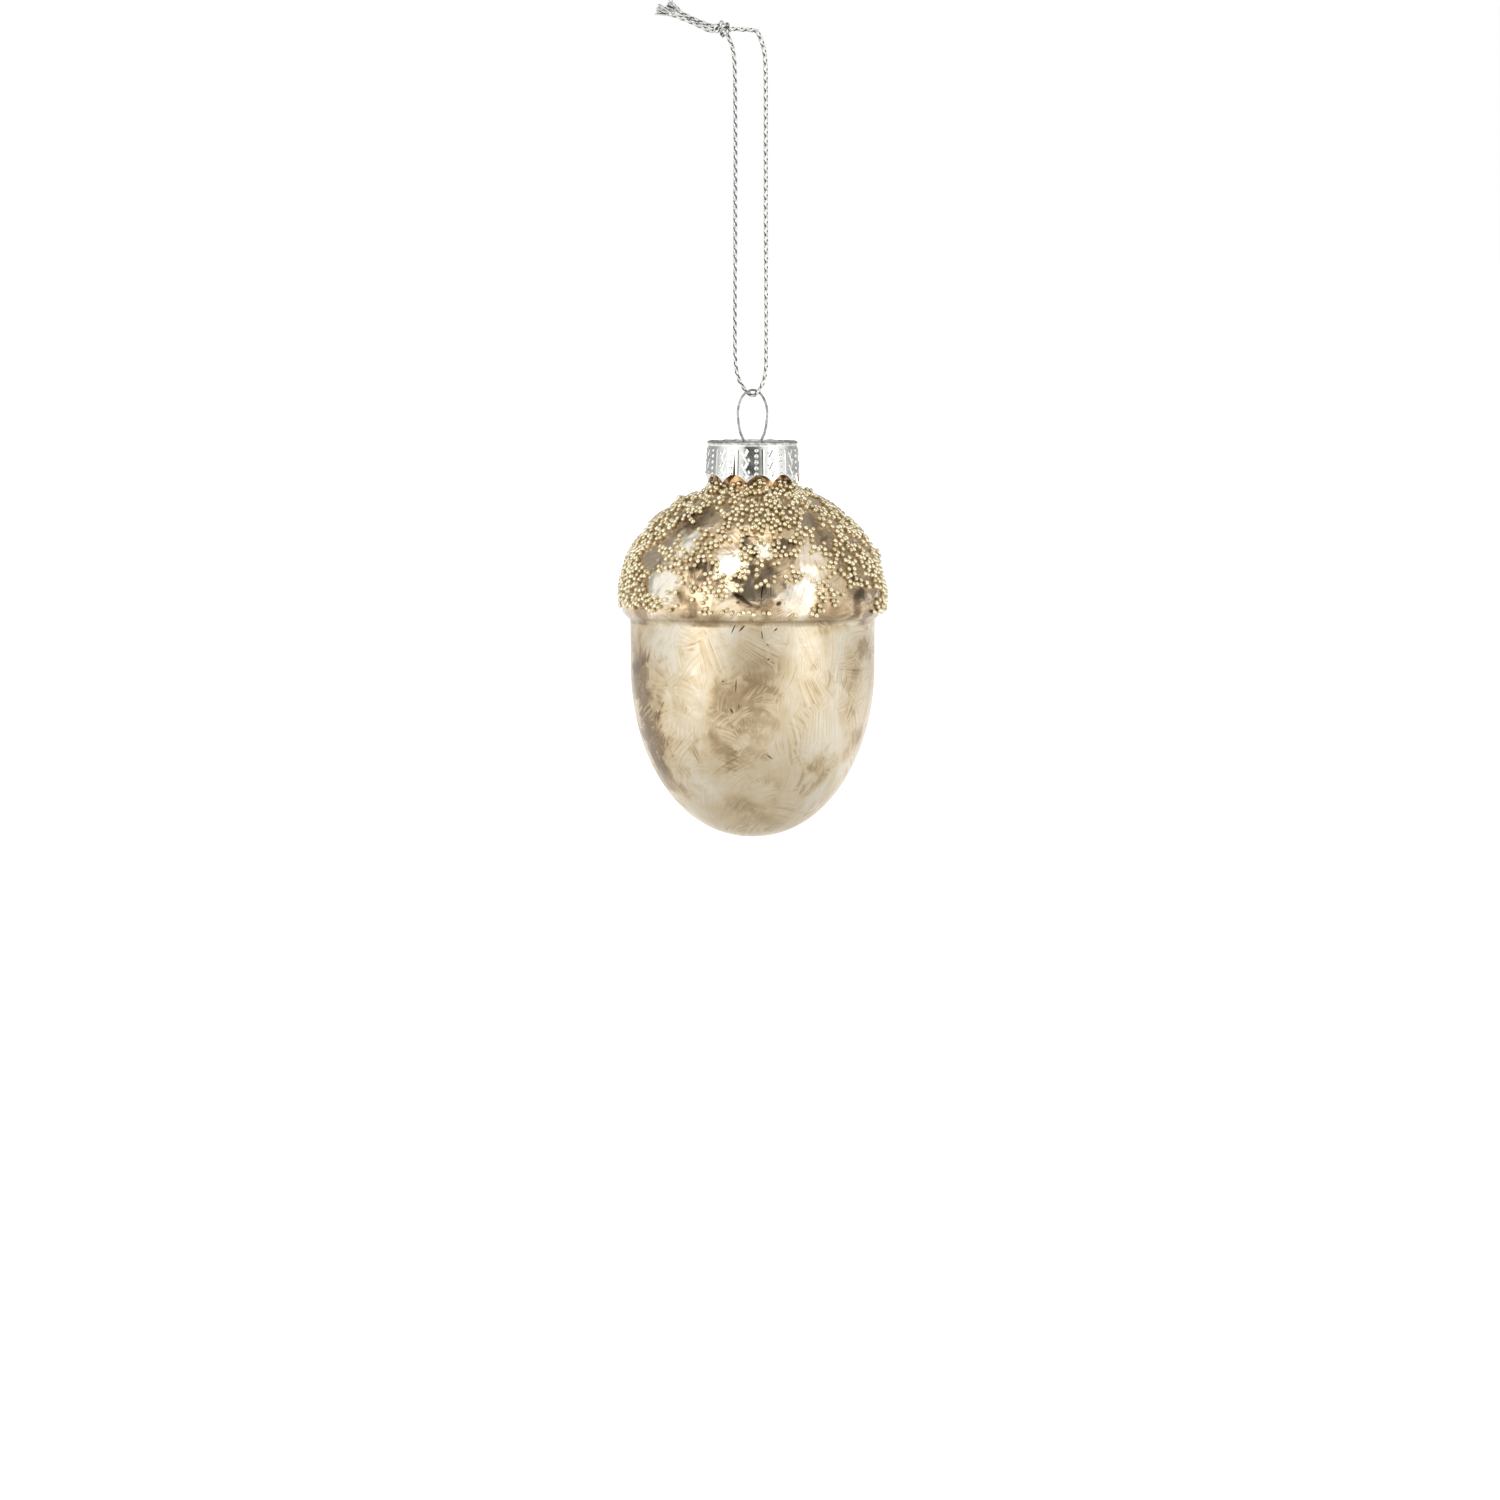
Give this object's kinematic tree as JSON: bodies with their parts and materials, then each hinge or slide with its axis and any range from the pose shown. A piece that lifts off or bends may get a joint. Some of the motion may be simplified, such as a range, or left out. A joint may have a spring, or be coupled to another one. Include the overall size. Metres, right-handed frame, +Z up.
{
  "type": "hanging acorn ornament",
  "caption": "Blown mirrored glass acorn ornament with a beaded cup, a scalloped crown cap, a spring wire eye and a knotted metallic hanging cord.",
  "frame": {"origin": "the hanging point: just under the top of the cord loop, on the ornament's vertical axis, where a hook or twig holds it", "axes": "+Z up along the ornament's axis, +X to the right, -Y towards the viewer, with the wire eye in the XZ plane"},
  "size_m": [0.054, 0.0536, 0.167],
  "materials": {
    "mirrored_glass": "champagne mirror under a feathered ice lacquer",
    "gold_beads": "pale gold plated, polished",
    "silver_cap": "bright, stamped",
    "bright_wire": "drawn, bright",
    "silver_cord": "twisted metallic yarn"
  },
  "bodies": {
    "cord": {"cord_loop": "silver_cord", "cord_knot": "silver_cord", "cord_tail_upper": "silver_cord", "cord_tail_lower": "silver_cord"},
    "wire_hanger": {"wire_hanger": "bright_wire"},
    "cap": {"crown_cap": "silver_cap"},
    "glass": {"glass_shell": "mirrored_glass", "bead_cluster_01": "gold_beads", "bead_cluster_02": "gold_beads", "bead_cluster_03": "gold_beads", "bead_cluster_04": "gold_beads", "bead_cluster_05": "gold_beads", "bead_cluster_06": "gold_beads", "bead_cluster_07": "gold_beads", "bead_cluster_08": "gold_beads", "bead_cluster_09": "gold_beads", "bead_cluster_10": "gold_beads", "bead_cluster_11": "gold_beads", "bead_cluster_12": "gold_beads", "bead_cluster_13": "gold_beads", "bead_cluster_14": "gold_beads", "bead_cluster_15": "gold_beads", "bead_cluster_16": "gold_beads", "bead_cluster_17": "gold_beads", "bead_cluster_18": "gold_beads", "bead_cluster_19": "gold_beads", "bead_cluster_20": "gold_beads", "bead_cluster_21": "gold_beads", "bead_cluster_22": "gold_beads", "bead_cluster_23": "gold_beads", "bead_cluster_24": "gold_beads"}
  },
  "joints": [
    {"name": "ornament_swing", "type": "hinge", "parent": "cord", "child": "wire_hanger", "pos_m": [0, 0, -0.0718], "axis": [0, 1, 0], "range_deg": [-25, 25]},
    {"name": "wire_rock", "type": "hinge", "parent": "wire_hanger", "child": "cap", "pos_m": [0, 0, -0.0819], "axis": [1, 0, 0], "range_deg": [-12, 12]},
    {"name": "glass_pull_off", "type": "slide", "parent": "cap", "child": "glass", "axis": [0, 0, -1], "range_m": [0, 0.02]}
  ]
}
